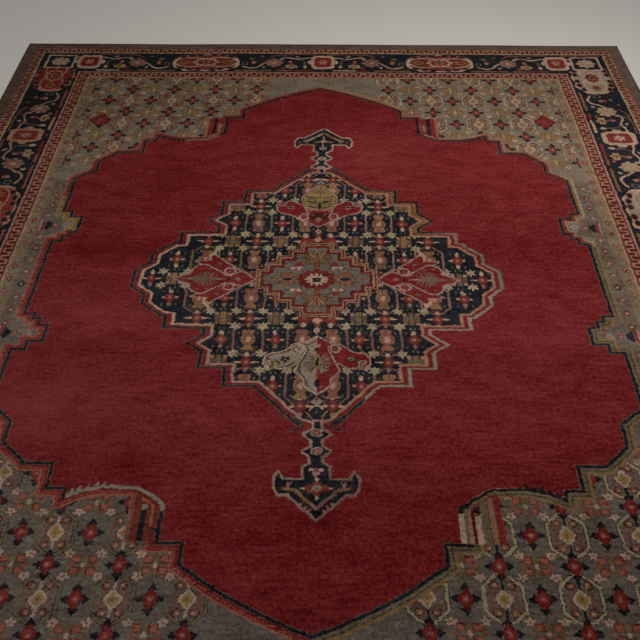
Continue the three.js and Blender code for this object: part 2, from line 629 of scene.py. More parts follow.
def weave_field_edge():
    """The line round the field and the bands on both sides of it, in each corner's own dyes."""
    bands = blank(PEACH)
    for out, dye in ((21.5, CLAY), (17, WALNUT), (14.5, ROSE)):
        bands.fill(grown(FIELD, out), dye)
    x, y = BORDER_EDGE, END_EDGE
    changes = (
        # from one corner to the other: which dyes change
        ((0, 200), (x, y), {ROSE: CRIMSON, WALNUT: RUST, CLAY: PEACH, PEACH: DOVE}),
        ((998, 200), (x, 700), {CRIMSON: OCHRE, RUST: GOLD, PEACH: STRAW}),
        ((0, 560), (370, y), {CRIMSON: RUST, DOVE: GOLD}),
        ((-x, -y), (x, 211), {CLAY: ROSE}),
        ((-x, 200), (0, y), {CLAY: ROSE}),
        ((0, -y), (x, 211), {ROSE: SAGE, PEACH: CAMEL}),
        ((-x, -y), (0, 560), {ROSE: MADDER, WALNUT: SALMON, PEACH: SALMON}),
        ((-x, 560), (0, y), {ROSE: MADDER, WALNUT: CAMEL, PEACH: CLAY}),
        ((-x, 280), (-900, 520), {MADDER: OCHRE, SALMON: GOLD}),
    )
    for low, high, dyes in changes:
        bands.change(low, high, dyes)
    bands.fill(grown(FIELD, 6.5), TAUPE)
    bands.fill(grown(FIELD, 5), NAVY)
    bands.change((-600, 900), (-400, 1010), {NAVY: SAGE})
    bands.change((-697, -1062), (-400, -950), {NAVY: MIST})
    bands.change((-630, -1062), (-590, -960), {MIST: BLUSH})
    bands.fill(grown(FIELD, -5.5), TAUPE)
    bands.change((400, -1100), (760, -880), {TAUPE: CLAY})
    bands.fill(grown(FIELD, -7.5), MADDER)
    rug.lay(bands, grown(FIELD, 29))
    for quarter, foot, dye in zip(rug.quarters(), (974, 974, 979, 979), (NAVY, NAVY, NAVY, MIST)):
        for x in (598, 618, 640, 662, 682):
            y = foot + max(0, x - 620) * 0.36
            quarter.fill([(x - 9, y), (x + 10, y), (x - 2, y - 23)], dye)
    for half in rug.sides():
        half.flowers(4, 992, 1146, 0.3, (46, 58, OXBLOOD), (38.64, 48.72, CRIMSON))
        half.disc(992, 1146, 9, 12, ROSE)


POCKET_END = 1164  # where the bars in each corner's pocket meet the lattice
POCKETS = (
    # the inner end, the pocket's dye and the bars' dye in each quarter; one has no bars
    (985, CRIMSON, SALMON), (985, CRIMSON, CAMEL), (994, BRICK, None), (994, BRICK, SALMON),
)


def weave_corner_bars():
    """The red pocket with its bars at the inner end of each corner."""
    for quarter, (top, ground, line) in zip(rug.quarters(), POCKETS):
        pocket = [(430, top + 49), (505, top), (512, top), (512, POCKET_END), (430, POCKET_END)]
        quarter.fill(pocket, ground)
        if line is None:
            continue
        bar = [(499, top + 9), (512, top + 2), (512, POCKET_END), (499, POCKET_END)]
        quarter.fill(bar, line)
        if ground == BRICK:
            quarter.line([(505, 1000), (505, 1160)], 2.6, TAUPE)
            quarter.line([(480, 1019), (446, 1042), (446, 1112)], 6.5, line)
            quarter.box(470, 1106, 8, 56, NAVY)
            quarter.box(470, 1048, 8, 11, MIST)
            quarter.line([(443, 1118), (426, 1131)], 6, NAVY)
        else:
            quarter.box(473, 1092, 8, 72, NAVY)
            quarter.box(437, 1080, 4, 48, MAUVE)
            quarter.box(451, 1075, 7, 36, line)
            quarter.line([(448, 1026), (488, 1002)], 8, PEACH)


NEAR_STRIPES = (
    # from the field to the lattice: the edges, where each stripe begins, and its dye
    (409, 419, 1040, SAGE), (419, 429, 1046, PEACH), (429, 439, 1042, OXBLOOD),
    (439, 457, 1062, IVORY), (457, 478, 1016, SAGE), (478, 481, 1008, WALNUT),
    (481, 495, 1000, CAMEL), (495, 498, 992, TAUPE), (498, 515, 1000, CRIMSON),
)


def weave_near_stripes():
    """The stripes that fill the pocket of the near right corner."""
    corner = rug.at(0, 0, 1, -1)
    corner.box(420, 1110, 24, 54, SAGE)
    corner.line([(430, 1031), (402, 1048), (402, 1062)], 12, NAVY)
    corner.box(402, 1114, 7, 50, IVORY)
    for low, high, start, dye in NEAR_STRIPES:
        stripe = [(low, start + 14), (high, start + 8), (high, POCKET_END), (low, POCKET_END)]
        corner.fill(stripe, dye)
    corner.fill([(441, 1061), (441, 1044), (456, 1036), (456, 1061)], NAVY)
    corner.line([(470, 1020), (470, 1160)], 2.6, TAUPE)


def weave_corners():
    ground = blank(SLATE)
    corner_lattice(ground)
    weave_corner_sides(ground)
    corners = np.array([(-1, -1), (1, -1), (1, 1), (-1, 1)]) * (BORDER_EDGE, END_EDGE)
    rug.lay(ground, corners)
    weave_field_edge()
    weave_corner_bars()
    weave_near_stripes()


weave_corners()

# The medallion: its stepped outline, and the navy ground with the lattice

MEDALLION = all_round([
    (15, 713), (45, 703), (183, 545), (268, 545), (268, 463), (352, 463), (352, 397), (396, 361),
    (350, 320), (350, 265), (489, 261), (489, 199), (520, 196), (577, 140), (578, 88), (627, 42),
])
emblem = blank(MADDER)


def line_round_medallion(chart, *bands):
    """Lines round the medallion: how far each reaches across and along, and its dye."""
    for across, along, dye in bands:
        chart.fill(grown(MEDALLION, across, along), dye)


def weave_medallion_edge():
    """The outer line, the red band and the pale line, in the dyes that each side has."""
    line_round_medallion(
        emblem, (35.5, 24, TAUPE), (32.5, 22, NAVY), (22, 14.5, TAUPE), (20, 13, MADDER)
    )
    emblem.change((150, -740), (680, 283), {NAVY: MIST, TAUPE: DUSTY})
    emblem.change((150, -60), (680, 283), {DUSTY: SAGE, MIST: DOVE})
    gold = blank(MADDER)
    line_round_medallion(
        gold, (39, 28, TAUPE), (36, 26, NAVY), (25, 17, OCHRE), (11, 8, MADDER)
    )
    emblem.lay(gold, [(188, 545), (192, 600), (480, 600), (480, 283), (300, 283), (300, 400)])
    for end in emblem.ends():
        end.box(0, 730, 52, 45, MADDER)
    line_round_medallion(emblem, (7, 6, DUSTY), (5, 4.5, PEACH))
    emblem.change((-700, -760), (0, 760), {PEACH: BLUSH})
    emblem.change((-700, -300), (-150, 300), {BLUSH: IVORY})
    emblem.change((-120, 550), (120, 760), {BLUSH: PEACH})
    line_round_medallion(emblem, (-3.5, -3, RUST))


LONG_STARS = ((50, 226), (230, 226), (410, 226), (230, 452), (590, 0), (50, 650))
SHORT_STARS = ((140, 113), (320, 113), (512, 113), (140, 339), (140, 565))
POSTS = ((140, 226), (320, 226), (140, 452), (320, 452), (508, 0))
LILIES = ((50, 339), (230, 339), (230, 113), (410, 113), (50, 565), (230, 565))


def weave_lattice(ground):
    """Lilies in long hexagons, stars, and posts between small flowers, on the navy ground."""
    for x, y in LILIES:
        for quarter in ground.quarters():
            quarter.at(x, y).lines(HEXAGON, (9.5, WALNUT), (5.5, DUSTY), closed=True)
    ground.change((-700, 0), (-120, 700), {DUSTY: SAGE})
    ground.change((120, -300), (700, 700), {DUSTY: CLAY})
    for i, quarter in enumerate(ground.quarters()):
        outer = (IVORY, IVORY, CLAY, CLAY)[i]
        for j, (x, y) in enumerate(POSTS):
            middle = (TAUPE, CAMEL, SAGE)[(i + j) % 3]
            post(quarter.at(x, y), middle, (TAUPE, SAGE)[(i + j) % 2], (BLUSH, PEACH)[j % 2])
        for x, y in LONG_STARS:
            star(quarter.at(x, y), 26, outer)
        for x, y in SHORT_STARS:
            star(quarter.at(x, y), 9, outer, BLUSH)
        star(quarter.at(320, 339), 0, outer)
    for i, quarter in enumerate(ground.quarters()):
        third = (TAUPE, TAUPE, RUST, RUST)[i]
        for j, (x, y) in enumerate(LILIES):
            body = (RUST, CAMEL, third)[(i + j) % 3]
            cap = (OCHRE, CAMEL, RUST)[(2 * i + j) % 3]
            lily(quarter.at(x, y), body, cap, (RUST, SALMON)[j % 2])


def weave_round_heart(ground):
    """The small red patches with pale drops, between the heart and the palmettes."""
    for end in ground.ends():
        end.fill(both_sides([(76, 195), (72, 222), (56, 246), (30, 272), (0, 276)]), BRICK)
        for half in end.sides():
            half.dots((23, 262, 13, 22, NAVY), (46, 261, 8, 15, IVORY))
            half.fill([(48, 196), (64, 222), (48, 248), (32, 222)], CRIMSON)
            half.disc(48, 222, 7, 9, RUST)
            half.fill([(66, 217), (92, 222), (66, 227)], IVORY)
            half.fill([(205, -70), (205, 70), (262, 0)], BRICK)
        for half in end.sides():
            half.discs(228, 33, (8, 13, BLUSH), (3, 6, TAUPE))
        end.line([(0, 240), (0, 290)], 6, IVORY)
        end.flower(4, 0, 236, 14, 15, 0.2, IVORY)
        end.fill([(0, 272), (13, 289), (0, 306), (-13, 289)], IVORY)
        end.dots((0, 289, 4, 7, RUST), (0, 262, 3, 8, MAUVE))


def weave_necks(far):
    """The small flowers between the tall palmettes and the pendants."""
    far.disc(0, 608, 24, 6, RUST)
    far.fill([(-18, 618), (18, 618), (11, 630), (4, 637), (-4, 637), (-11, 630)], MIST)
    far.disc(0, 624, 5, 4, NAVY)
    far.boxes(0, 653, (23, 7.5, IVORY), (8, 4, TAUPE))
    far.fill([(-20, 664), (20, 664), (9, 684), (9, 720), (-9, 720), (-9, 684)], NAVY)
    near = far.at(0, 0, 1, -1)
    near.dots((0, 632, 18, 10, MIST), (0, 630, 5, 4, ROSE))
    near.line([(-20, 663), (-12, 650), (0, 645), (12, 650), (20, 663)], 7, IVORY)
    near.line([(0, 672), (0, 720)], 18, NAVY)
    near.disc(0, 670, 15, 13, NAVY)
    near.line([(0, 660), (0, 680)], 4, MAUVE)
    for neck, dye in ((far, CLAY), (near, CAMEL)):
        for half in neck.sides():
            half.line([(34, 672), (17, 692), (13, 720)], 5, dye)


HEART = all_round([
    (34, 187), (34, 148), (75, 148), (75, 108), (118, 108), (118, 68), (158, 68), (158, 29),
    (188, 29),
])


def ray_blossom(chart):
    """The flower at either end of the heart: petals in four dyes that spread from a core."""
    petals = (
        ((44, -26), SAGE), ((52, -9), CAMEL), ((50, 9), SAGE), ((40, 25), OCHRE), ((27, 38), PEACH),
        ((10, 47), CAMEL),
    )
    for half in chart.sides():
        for width, outline in ((13, WALNUT), (8, None)):
            for tip, dye in petals:
                half.line([(0, 0), tip], width, outline or dye)
    chart.discs(0, 0, (14, 16, BRICK), (9, 11, PEACH), (6, 8, MAUVE))


def lens_rosette(chart):
    """A rosette with a dark lens, rust petals and small ochre discs."""
    for quarter in chart.quarters():
        quarter.dots((13, 24, 13, 17, WALNUT), (13, 25, 10, 14, RUST), (14, 27, 4, 7, TAUPE))
        quarter.discs(32, 14, (9, 8, WALNUT), (7, 6, OCHRE))
    chart.line([(-40, 0), (40, 0)], 7, RUST)
    chart.line([(0, -40), (0, 40)], 5, OCHRE)
    chart.discs(0, 0, (27, 13, CLAY), (21, 10, NAVY))


def weave_heart(ground):
    """The slate heart of stepped outlines round a red rosette."""
    bands = (
        (31, WALNUT), (29, PEACH), (24, WALNUT), (18.5, PEACH), (12.5, OXBLOOD), (10, MADDER),
        (4, OXBLOOD),
    )
    for out, dye in bands:
        ground.fill(grown(HEART, out), dye)
    ground.fill(HEART, SLATE)
    for quarter in ground.quarters():
        quarter.fill([(44, 78), (82, 78), (74, 96), (60, 100)], CRIMSON)
        quarter.boxes(75, 66, (22, 9, WALNUT), (19, 6.5, IVORY), (6, 3, ROSE))
        for x in (62, 88):
            quarter.line([(x, 60), (x, 54)], 6, IVORY)
        quarter.dots((104, 62, 8, 6, TAUPE), (28, 150, 7, 12, TAUPE))
        quarter.line([(30, 70), (42, 62), (54, 42)], 4, MAUVE)
    for end in ground.ends():
        end.line([(0, 45), (0, 100)], 22, BRICK)
        end.line([(0, 50), (0, 90)], 5, OCHRE)
        ray_blossom(end.at(0, 112))
        end.disc(0, 168, 7, 12, CAMEL)
    for half in ground.sides():
        lens_rosette(half.at(104, 0))
        half.discs(160, 0, (14, 8, CAMEL), (6, 4, BRICK))
    heart_rosette(ground.at(0, -3))


def heart_rosette(chart):
    """The rosette of the heart: twelve madder petals round twelve ivory ones."""
    turns = np.arange(12) * pi / 6
    chart.flower(12, 0, 0, 71, 60, 0.13, OXBLOOD)
    for turn in turns:
        chart.disc(54 * np.cos(turn), 46 * np.sin(turn), 11, 9, MADDER)
    chart.disc(0, 0, 37, 32, CRIMSON)
    for turn in turns:
        chart.line([(0, 0), (36.45 * np.cos(turn), 31.05 * np.sin(turn))], 11, IVORY)
    chart.boxes(0, 0, (19, 17, IVORY), (14.5, 13.5, NAVY), (6, 6, MAUVE))


# The palmettes of the medallion, each drawn pointing to the heart

FAR_BODY = [
    (0, 315), (25, 335), (45, 352), (40, 388), (42, 405), (50, 425), (58, 450), (65, 475),
    (70, 500), (66, 520), (55, 540), (47, 555), (40, 565), (32, 580), (20, 593), (0, 602),
]
FAR_WING = [
    (48, 352), (75, 365), (95, 385), (120, 398), (150, 408), (162, 425), (166, 445), (165, 470),
    (158, 490), (152, 475), (158, 462), (150, 455), (135, 460), (132, 468), (130, 480), (120, 487),
    (105, 485), (85, 475), (70, 465), (50, 425), (42, 405),
]
NEAR_BODY = [
    (0, 322), (25, 340), (48, 358), (40, 372), (38, 390), (42, 410), (50, 430), (60, 455),
    (68, 480), (72, 498), (60, 515), (45, 535), (40, 560), (28, 580), (0, 600),
]
NEAR_WING = [
    (52, 356), (75, 360), (95, 385), (120, 402), (150, 408), (165, 420), (173, 440), (172, 460),
    (160, 470), (152, 455), (160, 447), (145, 445), (132, 449), (135, 462), (130, 480), (115, 487),
    (95, 478), (75, 462), (60, 455), (42, 410),
]


def tall_palmette(chart, body, wing, sides):
    """A long palmette with a hooked wing on each side; sides gives each side's two dyes."""
    for half, (ground, line) in zip(chart.sides(), sides):
        half.fill(wing, ground)
        half.lines(rounded(wing[:19]), (9, WALNUT), (6.5, line))
        half.fill([wing[7], (168, 484), (160, 498), (150, 492), (156, 472)], line)
    for half, (ground, line) in zip(chart.sides(), sides):
        half.fill(body, ground)
        half.lines(rounded(body), (9.5, WALNUT), (6.5, line))
        half.discs(58, 382, (21, 27, WALNUT), (19, 25, line))
        half.dots((58, 384, 11, 16, ground), (58, 386, 5, 7, DUSTY))


def weave_far_palmette(far):
    tall_palmette(far, FAR_BODY, FAR_WING, ((MADDER, BLUSH), (MADDER, BLUSH)))
    far.fill(both_sides([(0, 345), (16, 350), (38, 372), (36, 405), (0, 410)]), OXBLOOD)
    dome = [(0, 428), (47, 432), (54, 455), (62, 488), (62, 512), (50, 540), (36, 562), (20, 586)]
    far.fill(both_sides(dome + [(0, 595)]), GOLD)
    for half in far.sides():
        half.flower(6, 112, 447, 14, 16, 0.4, MIST)
        half.disc(112, 447, 7, 8, NAVY)
        half.line([(60, 362), (84, 376)], 7, IVORY)
        for y, dye in ((446, WALNUT), (463, SAGE), (480, WALNUT), (497, SAGE), (514, WALNUT)):
            half.line([(13, y - 4), (42 + (y - 446) / 7, y + 8)], 9, dye)
        half.line([(10, 545), (30, 556)], 8, OCHRE)
        half.line([(10, 560), (22, 574)], 6, SAGE)
        half.line([(9, 422), (22, 429), (42, 422)], 4.5, BLUSH)
        half.disc(24, 396, 5, 8, ROSE)
    far.line([(0, 500), (0, 590)], 7, MAUVE)
    far.dots((0, 558, 11, 9, SLATE), (0, 455, 14, 33, CAMEL), (0, 455, 7, 23, NAVY))
    far.line([(-14, 396), (0, 382), (14, 396)], 6, NAVY)
    far.flower(4, 0, 364, 13, 15, 0.3, CAMEL)
    far.disc(0, 364, 5, 6, ROSE)


def weave_near_palmette(near):
    tall_palmette(near, NEAR_BODY, NEAR_WING, ((MADDER, BLUSH), (OAT, IVORY)))
    right, left = near.sides()
    for half, dyes in ((left, (TAUPE, TAUPE)), (right, (SAGE, MIST))):
        for i, turn in enumerate(np.linspace(0.6, pi - 0.35, 12)):
            x, y = 44 * np.sin(turn), 455 - 54 * np.cos(turn)
            half.line([(10, 455 - 30 * np.cos(turn)), (x, y)], 5, dyes[i % 2])
    inset = [(-10, 345), (-36, 372), (-30, 395), (-44, 428), (-60, 478), (-54, 505), (-36, 535)]
    near.line(rounded(inset + [(-30, 560), (-14, 580)]), 4.5, WALNUT)
    inset = [(-66, 374), (-92, 394), (-120, 410), (-150, 416), (-162, 436), (-122, 452)]
    near.line(rounded(inset + [(-126, 476), (-98, 470), (-74, 452)]), 4.5, WALNUT)
    near.flower(5, -103, 437, 21, 17, 0.5, NAVY)
    near.disc(-105, 440, 5, 4, STONE)
    near.flowers(6, 110, 436, 0.4, (19, 17, NAVY), (14, 12, STONE))
    near.dots((110, 436, 4, 4, NAVY), (0, 448, 13, 38, WALNUT), (0, 448, 11.5, 36, GOLD))
    near.disc(0, 448, 6, 24, NAVY)
    near.line([(0, 490), (0, 530)], 6, OCHRE)
    near.dots((0, 552, 9, 18, NAVY), (-15, 568, 7, 8, MIST), (14, 568, 6, 8, ROSE))
    near.dots((4, 368, 8, 9, PEACH), (-3, 390, 7, 9, NAVY))


BROAD_BODY = [
    (218, 0), (240, 23), (262, 40), (275, 42), (290, 33), (305, 24), (322, 22), (337, 33),
    (347, 43), (362, 54), (378, 67), (392, 79), (408, 85), (422, 84), (435, 74), (446, 60),
    (451, 46), (452, 30), (466, 26), (482, 20), (497, 10), (512, 0),
]
BROAD_WING = [
    (262, 40), (285, 58), (303, 75), (320, 90), (347, 115), (367, 134), (374, 146), (384, 136),
    (388, 125), (385, 109), (412, 111), (443, 105), (432, 95), (420, 88), (392, 79), (362, 54),
    (337, 33), (322, 22), (290, 33),
]
BROAD_HOOK = [
    (360, 124), (372, 146), (368, 172), (374, 176), (384, 160), (396, 146), (399, 128), (394, 112),
    (385, 108), (388, 125), (383, 136), (374, 138),
]


def broad_palmette(chart):
    """A palmette for the cross axis, with a two-lobed wing on each side."""
    for half in chart.ends():
        half.fill(BROAD_WING, MADDER)
        for width, dye in ((9.5, WALNUT), (6.5, BLUSH)):
            half.line(BROAD_WING[:7], width, dye)
            half.line(rounded(BROAD_WING[9:15]), width - 1, dye)
        half.fill(BROAD_HOOK, IVORY)
        half.discs(312, 46, (25, 24, WALNUT), (23, 22, BLUSH), (16, 15, MADDER), (6, 5, DUSTY))
        half.disc(352, 88, 9, 6, SAGE)
    for half in chart.ends():
        half.fill(BROAD_BODY, MADDER)
        half.lines(BROAD_BODY, (9.5, WALNUT), (6.5, BLUSH))
        for x, length in ((362, 22), (376, 33), (390, 40), (404, 40), (418, 33), (430, 22)):
            half.line([(x + 8, 5), (x - 4, length)], 7.5, TAUPE if x % 4 else SAGE)
        half.dots((388, 58, 8, 4, DUSTY), (420, 60, 6, 4, DUSTY))
    chart.flower(6, 281, 0, 12, 12, 0.3, DOVE)
    chart.dots((281, 0, 5, 4, ROSE), (313, 0, 8, 7, NAVY), (334, 0, 9, 7, ROSE))
    chart.line([(345, 0), (366, 0)], 8, MIST)
    chart.dots((397, 0, 37, 14, SAGE), (446, 0, 14, 8, SLATE))
    chart.line([(372, 0), (418, 0)], 5, ROSE)
    for y in (8, -8):
        chart.line([(378, y), (410, y)], 3, MAUVE)
    chart.line([(460, 0), (494, 0)], 6, TAUPE)


def weave_medallion():
    weave_medallion_edge()
    ground = blank(NAVY)
    weave_lattice(ground)
    weave_round_heart(ground)
    weave_necks(ground)
    weave_heart(ground)
    weave_far_palmette(ground)
    weave_near_palmette(ground.at(0, 0, 1, -1))
    for half in ground.sides():
        broad_palmette(half)
    emblem.lay(ground, grown(MEDALLION, -5.5, -5))


weave_medallion()

# The pendants at both ends of the medallion

PENDANT = both_sides([
    (16, 704), (16, 738), (44, 752), (44, 762), (20, 788), (20, 806), (46, 823), (46, 833),
    (23, 855), (23, 874), (43, 890), (43, 934), (94, 934), (109, 905), (125, 926), (126, 968),
    (113, 999), (84, 1000), (0, 1087),
])


def pendant(chart, left, right):
    """The neck, its two diamonds and the anchor-shaped end, up to the outline."""
    chart.fill(grown(PENDANT, 2), TAUPE)
    chart.fill(PENDANT, left)
    chart.fill(PENDANT[PENDANT[:, 0] >= 0], right)
    chart.fill(grown(PENDANT, -6.5), TAUPE)
    chart.fill(grown(PENDANT, -8), NAVY)


def hook(chart):
    """The curled end of the medallion's outer line."""
    curl = rounded([(92, 686), (62, 706), (46, 718), (43, 730), (53, 741), (74, 745)])
    chart.lines(curl, (10, TAUPE), (6.5, NAVY))


def weave_far_pendant(far):
    pendant(far, BLUSH, IVORY)
    for y in (755, 827):
        far.flower(4, 0, y, 21, 16, 0.15, MIST)
        far.discs(0, y, (13, 9, BLUSH), (5, 4, ROSE))
    for half, vee in zip(far.sides(), (CAMEL, OAT)):
        hook(half)
        half.lines([(84, 968), (60, 978), (0, 1042)], (13, TAUPE), (10, vee))
        half.disc(48, 962, 15, 11, NAVY)
        half.line([(4, 968), (36, 960)], 9, RUST)
        half.line([(8, 968), (32, 960)], 4, BLUSH)
        half.dots((72, 960, 8, 10, DUSTY), (102, 956, 12, 22, PLUM), (102, 956, 5, 10, MAUVE))
    far.line([(0, 1000), (0, 1044)], 12, WALNUT)
    far.line([(0, 915), (0, 1010)], 7, BLUSH)
    far.flower(4, 0, 967, 15, 12, 0.2, IVORY)
    far.disc(0, 967, 4, 4, ROSE)
    far.flower(6, 0, 908, 18, 17, 0.2, MIST)
    far.discs(0, 908, (11, 11, ROSE), (4, 4, BLUSH))


def weave_near_pendant(near):
    pendant(near, BLUSH, CLAY)
    for y in (755, 827):
        near.discs(0, y, (18, 17, MIST), (13, 12, ROSE), (5, 5, PEACH))
    for half, vee in zip(near.sides(), (DUSTY, CAMEL)):
        hook(half)
        half.lines([(92, 974), (60, 980), (0, 1044)], (12, TAUPE), (9, vee))
        half.line([(71, 950), (77, 964), (77, 972)], 5, CLAY)
        half.line([(84, 950), (78, 964)], 5, CLAY)
        half.line([(98, 960), (102, 978)], 8, OXBLOOD)
        for share in (0.2, 0.45, 0.7):
            x, y = 52 - 46 * share, 1024 + 46 * share
            half.fill([(x + 10, y - 4), (x - 2, y + 9), (x - 4, y - 13)], CLAY)
            half.line([(x - 7, y - 7), (x - 9, y - 14)], 5, OXBLOOD)
        half.dots((13, 904, 9, 7, IVORY), (22, 972, 14, 15, BRICK))
        half.fill([(36, 968), (52, 972), (36, 978)], IVORY)
    near.dots((0, 904, 7, 8, ROSE), (0, 918, 12, 7, BLUSH), (0, 972, 14, 29, BRICK))
    near.fill([(0, 926), (7, 938), (0, 952), (-7, 938)], IVORY)
    near.flower(6, 0, 972, 16, 14, 0.3, MIST)
    near.disc(0, 972, 6, 5, SAGE)
    near.fill([(0, 994), (6, 1003), (0, 1016), (-6, 1003)], IVORY)


weave_far_pendant(emblem)
weave_near_pendant(emblem.at(0, 0, 1, -1))

# The finished pile: the medallion strays a little from the chart, and no knot sits quite evenly

STRAY_ACROSS = {
    # mm along the rug: mm that the medallion's middle line strays to the right
    -1090: 4, -965: 4, -765: 2, -600: 0, -450: 1, -225: -3, -17: -8, 225: -6, 450: -3, 600: 0,
    745: 3, 820: 3, 905: 7, 960: 9, 1073: 12,
}
STRAY_ALONG = {
    # mm from the middle, either way: mm that its parts stray to the near end
    0: 14, 225: 8, 340: 2, 550: -3, 700: 4, 760: 9, 828: 10, 891: 6, 934: 4, 1080: 9,
}
MOTTLE = (
    # a ground, the shade under which it turns darker, its darker dye, and its lighter dye
    (SLATE, -1.1, TAUPE, DOVE), (DOVE, -1.1, CAMEL, STONE), (NAVY, -1.5, PLUM, NAVY),
)
by_hand = np.random.default_rng(11)


def uneven(steps):
    """Soft unevenness all over the chart, which changes from one so many knots to the next."""
    coarse = by_hand.normal(0, 1, (ROWS // steps + 2, COLUMNS // steps + 2))
    row, share = np.divmod(np.arange(ROWS)[:, None] / steps, 1)
    row = row[:, 0].astype(int)
    along = coarse[row] * (1 - share) + coarse[row + 1] * share
    column, share = np.divmod(np.arange(COLUMNS) / steps, 1)
    column = column.astype(int)
    return along[:, column] * (1 - share) + along[:, column + 1] * share


def finished():
    """The dyes of the finished pile, row by row."""
    y = (np.arange(ROWS) + 0.5) * KNOT - PILE_LENGTH / 2
    across = np.interp(y, list(STRAY_ACROSS), list(STRAY_ACROSS.values())) / KNOT
    along = np.interp(np.abs(y), list(STRAY_ALONG), list(STRAY_ALONG.values())) / KNOT
    rows = np.clip(np.arange(ROWS) + np.rint(along), 0, ROWS - 1).astype(int)
    columns = np.clip(np.arange(COLUMNS) - np.rint(across)[:, None], 0, COLUMNS - 1)
    strayed_emblem = emblem.dye[rows[:, None], columns.astype(int)]
    dye = np.where(strayed_emblem == MADDER, rug.dye, strayed_emblem)
    shade = uneven(2) + 0.6 * uneven(15)
    for ground, low, dark, light in MOTTLE:
        here = dye == ground
        dye = np.where(here & (shade < low), dark, dye)
        dye = np.where(here & (shade > 1.1), light, dye)
    loose = by_hand.choice([-1, 0, 1], (2, ROWS, COLUMNS), p=[0.08, 0.84, 0.08])
    rows = np.arange(ROWS)[:, None] + np.rint(0.55 * uneven(6)) + loose[0]
    columns = np.arange(COLUMNS) + np.rint(0.55 * uneven(7)) + loose[1]
    rows = np.clip(rows, 0, ROWS - 1).astype(int)
    return dye[rows, np.clip(columns, 0, COLUMNS - 1).astype(int)]


# The cloth's own sizes, in mm

MM = 0.001
PILE_TOP = 8  # over the floor
CLOTH_TOP = 3  # the woven foundation that the knots stand on
CORD_WIDTH = 7  # the overcast side cord
CORD_HEIGHT = 6
WRAP = 3.4  # from one turn of the cord's overcasting to the next
BETWEEN_TURNS = 0.84  # the cord's thickness there, as a share of a turn's
AT_ENDS = 0.5  # and at the cord's two ends
FLATWEAVE_LENGTH = 22
RIB = 0.3  # how far the flat weave's ribs rise and sink
PILE_FOOT = CLOTH_TOP - 0.5  # the pile panels reach a little into the foundation
CELL_KNOTS = 4  # a face of the pile's mesh holds four knots by four
CELL = CELL_KNOTS * KNOT
DYE_BASE = 32  # the four dyes in a row of a face are packed as the digits of one number
CELLS_ACROSS = int(PILE_WIDTH / CELL)
CELLS_ALONG = int(PILE_LENGTH / CELL)

EDGE_WANDER = 5  # how far a hand-woven side strays from a straight line
END_WANDER = 4
WAVES = ((1.3, 0.4, 0.5), (2.9, 1.9, 0.3), (4.7, 5.1, 0.2))  # half waves, start, share


def wander(share, shift):
    """A slow, uneven wave along a share of the rug, between -1 and 1."""
    return sum(part * np.sin(pi * halves * share + start + shift) for halves, start, part in WAVES)


def strayed(x, y):
    """Where a point of the straight-sided layout lies on the hand-woven rug."""
    share_x = 2 * x / PILE_WIDTH
    share_y = 2 * y / PILE_LENGTH
    side = EDGE_WANDER * share_x * wander(share_y, np.where(share_x < 0, 2, 0))
    end = END_WANDER * share_y * wander(share_x, np.where(share_y < 0, 3, 1))
    return x + side, y + end


def middle_of_outline():
    """The middle of the strayed outline's box, which lies over the frame's origin."""
    run = np.linspace(-1, 1, 400)
    half_x = PILE_WIDTH / 2 + CORD_WIDTH
    half_y = PILE_LENGTH / 2 + FLATWEAVE_LENGTH
    x = np.concatenate([strayed(side * half_x, run * half_y)[0] for side in (-1, 1)])
    y = np.concatenate([strayed(run * half_x, side * half_y)[1] for side in (-1, 1)])
    return (x.min() + x.max()) / 2, (y.min() + y.max()) / 2


MIDDLE = middle_of_outline()
LOW_CORNER, HIGH_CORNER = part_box("carpet")
CAD_MIDDLE = ((LOW_CORNER[0] + HIGH_CORNER[0]) / 2, (LOW_CORNER[1] + HIGH_CORNER[1]) / 2)


def placed(x, y, z):
    """Points in metres in the frame, from places in the layout and heights in mm."""
    x, y = strayed(x, y)
    across = (x - MIDDLE[0]) * MM + CAD_MIDDLE[0]
    along = (y - MIDDLE[1]) * MM + CAD_MIDDLE[1]
    return np.stack([across, along, z * MM], 1).astype(np.float32)


# Materials


def linear(colour):
    """An sRGB hex colour as linear red, green, blue and alpha."""
    parts = [int(colour[i : i + 2], 16) / 255 for i in (0, 2, 4)]
    return (*(c / 12.92 if c <= 0.04045 else ((c + 0.055) / 1.055) ** 2.4 for c in parts), 1)


def material(name):
    """A new material, still without nodes."""
    made = bpy.data.materials.new(name)
    made.use_nodes = True
    made.node_tree.nodes.clear()
    return made


def node(made, kind, links=None, inputs=None, **settings):
    """Adds a node with its settings, the values of its inputs, and the links into it."""
    added = made.node_tree.nodes.new(kind)
    for key, value in settings.items():
        setattr(added, key, value)
    for key, value in (inputs or {}).items():
        added.inputs[key].default_value = value
    for key, output in (links or {}).items():
        made.node_tree.links.new(output, added.inputs[key])
    return added


def value(made, kind, links=None, inputs=None, **settings):
    """The first output of a node."""
    return node(made, kind, links, inputs, **settings).outputs[0]


def sum_of(made, operation, *terms):
    """A sum on numbers and on outputs of other nodes."""
    links = {i: term for i, term in enumerate(terms) if isinstance(term, bpy.types.NodeSocket)}
    inputs = {i: term for i, term in enumerate(terms) if i not in links}
    return value(made, "ShaderNodeMath", links, inputs, operation=operation)


def surface(made, links, inputs):
    """Joins a shader, with its links and values, to a material's surface."""
    shader = value(made, "ShaderNodeBsdfPrincipled", links, inputs)
    node(made, "ShaderNodeOutputMaterial", {"Surface": shader})
    return made


def noise(made, place, scale, **inputs):
    """Soft noise, with its own scale along each axis."""
    stretched = value(made, "ShaderNodeVectorMath", {0: place}, {1: scale}, operation="MULTIPLY")
    inputs = {"Scale": 1.0, "Detail": 2.0, **inputs}
    return value(made, "ShaderNodeTexNoise", {"Vector": stretched}, inputs)


WOOL_GAIN = 1.6  # the wool is so much paler than its dyes look in this light
PAINTED_SHEEN_SHARE = 0.036  # painted sheen of the worn pile: how much pale haze is added as a tuft gets lighter
